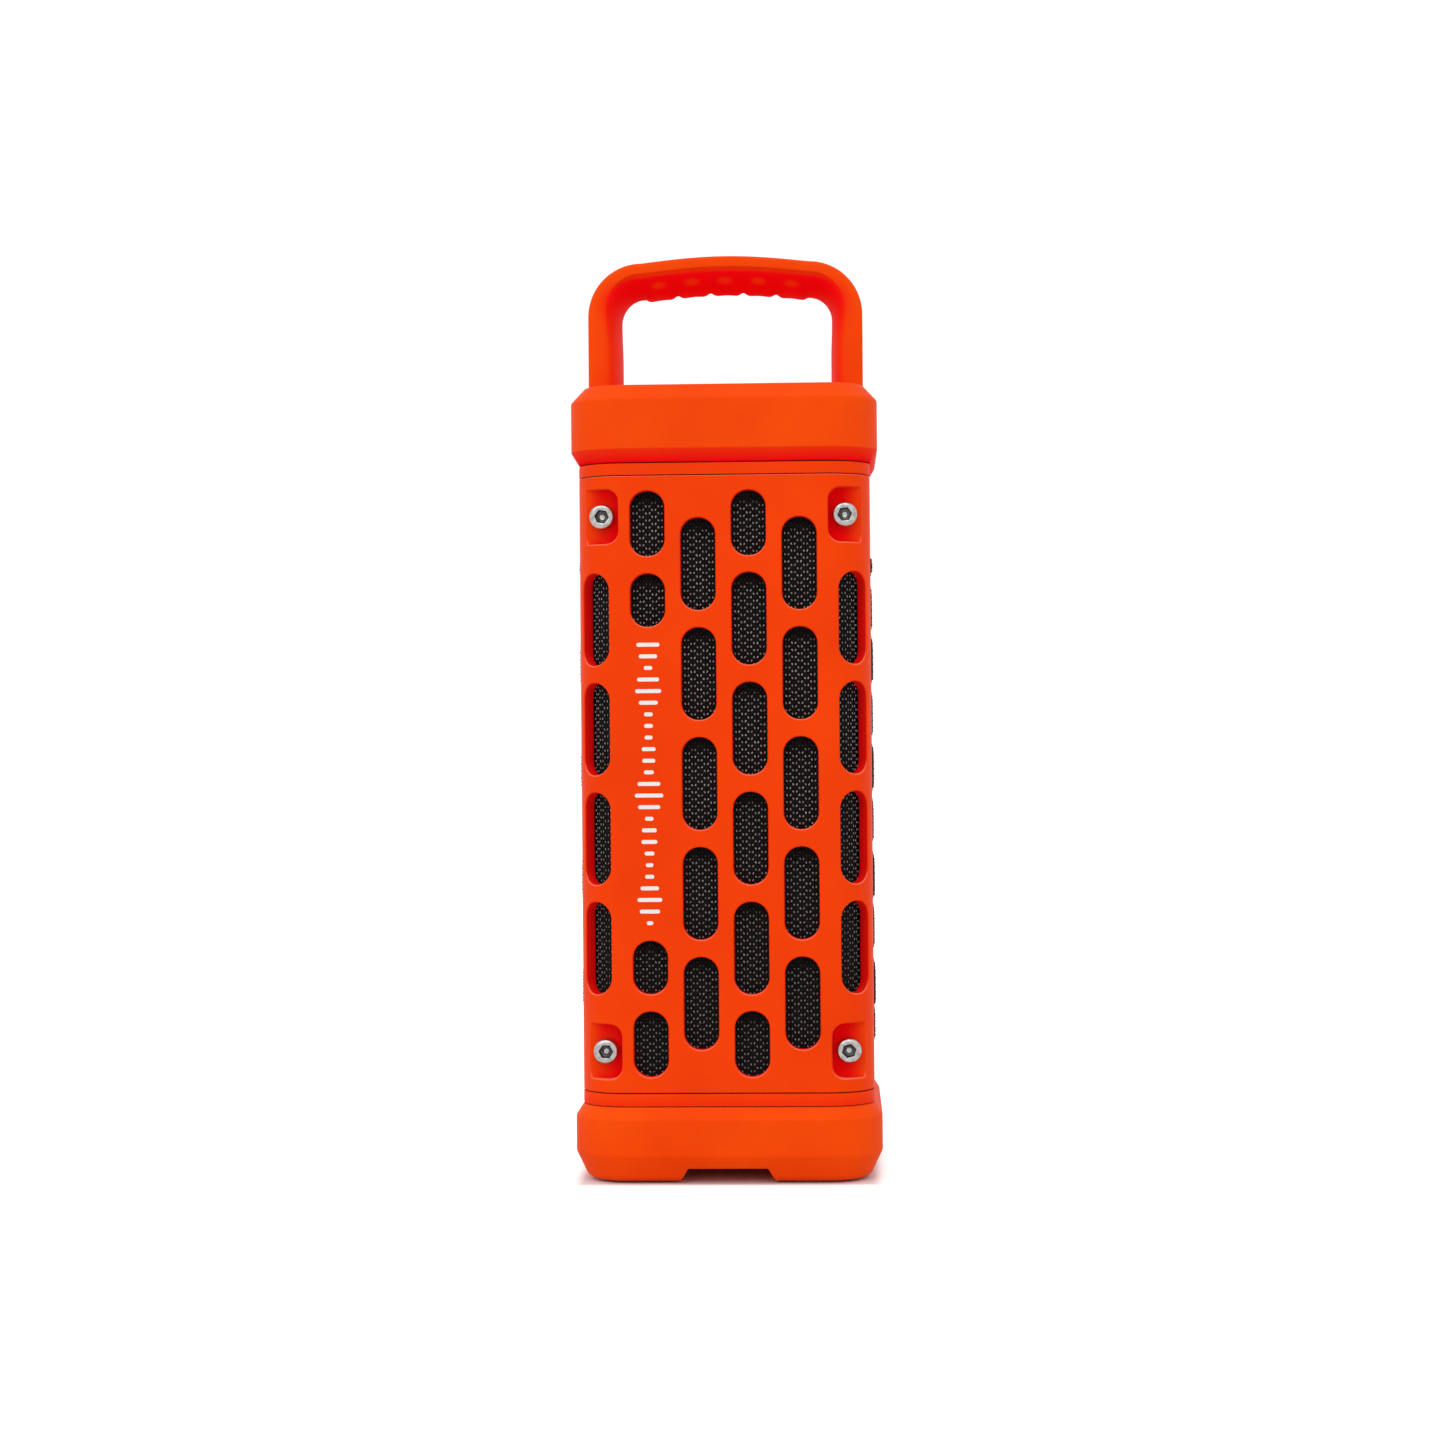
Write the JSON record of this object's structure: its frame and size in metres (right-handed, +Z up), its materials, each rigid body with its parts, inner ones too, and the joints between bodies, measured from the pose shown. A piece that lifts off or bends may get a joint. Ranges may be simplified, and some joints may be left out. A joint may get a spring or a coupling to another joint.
{
  "type": "portable speaker",
  "caption": "Rugged square tower portable wireless speaker with a top loop handle, slotted grille over woven mesh, bumper caps, top buttons and a rear port door.",
  "frame": {"origin": "middle of the base, on the surface the speaker stands on", "axes": "+Z up along the tower, front face towards -Y, +X to the right seen from the front"},
  "size_m": [0.087, 0.087, 0.2644],
  "materials": {
    "orange_shell": "fine satin grain",
    "orange_rubber": "soft matt overmould",
    "stainless_steel": "brushed",
    "woven_mesh": "black weave",
    "black_rubber": "matt",
    "cone_paper": "matt pressed pulp",
    "cast_aluminium": "as cast",
    "zinc_steel": "zinc plated",
    "black_plastic": "matt",
    "circuit_board": "solder mask",
    "cell_sleeve": "heat-shrink sleeve",
    "red_wire": "insulation",
    "light_window": "frosted"
  },
  "bodies": {
    "housing": {"aux_socket": "black_plastic", "base_screw_front_left": "stainless_steel", "base_screw_front_right": "stainless_steel", "base_screw_rear_left": "stainless_steel", "base_screw_rear_right": "stainless_steel", "battery_cell_left": "cell_sleeve", "battery_cell_right": "cell_sleeve", "battery_lead": "red_wire", "battery_tray": "black_plastic", "bottom_cap": "orange_rubber", "bottom_cap_seal": "black_rubber", "button_board": "circuit_board", "cabinet": "orange_shell", "cap_screw_front_left": "stainless_steel", "cap_screw_front_right": "stainless_steel", "cap_screw_rear_left": "stainless_steel", "cap_screw_rear_right": "stainless_steel", "charging_socket": "stainless_steel", "driver_lead": "black_plastic", "front_grille": "orange_shell", "front_mesh": "woven_mesh", "grille_screw_front_lower_left": "stainless_steel", "grille_screw_front_lower_right": "stainless_steel", "grille_screw_front_upper_left": "stainless_steel", "grille_screw_front_upper_right": "stainless_steel", "grille_screw_rear_lower_left": "stainless_steel", "grille_screw_rear_lower_right": "stainless_steel", "grille_screw_rear_upper_left": "stainless_steel", "grille_screw_rear_upper_right": "stainless_steel", "handle": "orange_rubber", "handle_bolt_left": "stainless_steel", "handle_bolt_right": "stainless_steel", "heat_sink": "cast_aluminium", "lower_driver_frame": "cast_aluminium", "lower_driver_magnet": "zinc_steel", "main_board": "circuit_board", "port_board": "circuit_board", "port_door_pin": "stainless_steel", "radiator_frame": "cast_aluminium", "rear_grille": "orange_shell", "rear_mesh": "woven_mesh", "status_light_window": "light_window", "top_cap": "orange_rubber", "top_cap_seal": "black_rubber", "upper_driver_frame": "cast_aluminium", "upper_driver_magnet": "zinc_steel"},
    "lower_cone": {"lower_driver_cone": "cone_paper", "lower_driver_surround": "black_rubber"},
    "pairing_button_cap": {"pairing_button": "orange_rubber"},
    "play_button_cap": {"play_button": "orange_rubber"},
    "port_door_flap": {"port_door": "orange_rubber", "port_door_seal": "black_rubber"},
    "power_button_cap": {"power_button": "orange_rubber"},
    "radiator": {"radiator_plate": "cast_aluminium", "radiator_surround": "black_rubber"},
    "upper_cone": {"upper_driver_cone": "cone_paper", "upper_driver_surround": "black_rubber"},
    "volume_down_button_cap": {"volume_down_button": "orange_rubber"},
    "volume_up_button_cap": {"volume_up_button": "orange_rubber"}
  },
  "joints": [
    {"name": "pairing_button_press", "type": "slide", "parent": "housing", "child": "pairing_button_cap", "axis": [0, 0, -1], "range_m": [0, 0.0007], "stiffness_N_per_m": 1500},
    {"name": "play_button_press", "type": "slide", "parent": "housing", "child": "play_button_cap", "axis": [0, 0, -1], "range_m": [0, 0.0007], "stiffness_N_per_m": 1500},
    {"name": "power_button_press", "type": "slide", "parent": "housing", "child": "power_button_cap", "axis": [0, 0, -1], "range_m": [0, 0.0007], "stiffness_N_per_m": 1500},
    {"name": "volume_down_button_press", "type": "slide", "parent": "housing", "child": "volume_down_button_cap", "axis": [0, 0, -1], "range_m": [0, 0.0007], "stiffness_N_per_m": 1500},
    {"name": "volume_up_button_press", "type": "slide", "parent": "housing", "child": "volume_up_button_cap", "axis": [0, 0, -1], "range_m": [0, 0.0007], "stiffness_N_per_m": 1500},
    {"name": "upper_cone_stroke", "type": "slide", "parent": "housing", "child": "upper_cone", "axis": [0, 1, 0], "range_m": [-0.0018, 0.0018], "stiffness_N_per_m": 1200, "deforming": ["upper_driver_surround"]},
    {"name": "lower_cone_stroke", "type": "slide", "parent": "housing", "child": "lower_cone", "axis": [0, 1, 0], "range_m": [-0.0018, 0.0018], "stiffness_N_per_m": 1200, "deforming": ["lower_driver_surround"]},
    {"name": "radiator_stroke", "type": "slide", "parent": "housing", "child": "radiator", "axis": [0, 1, 0], "range_m": [-0.0018, 0.0018], "stiffness_N_per_m": 1200, "deforming": ["radiator_surround"]},
    {"name": "port_door_hinge", "type": "hinge", "parent": "housing", "child": "port_door_flap", "pos_m": [0, 0.0395, 0.031], "axis": [-1, 0, 0], "range_deg": [0, 95]}
  ]
}
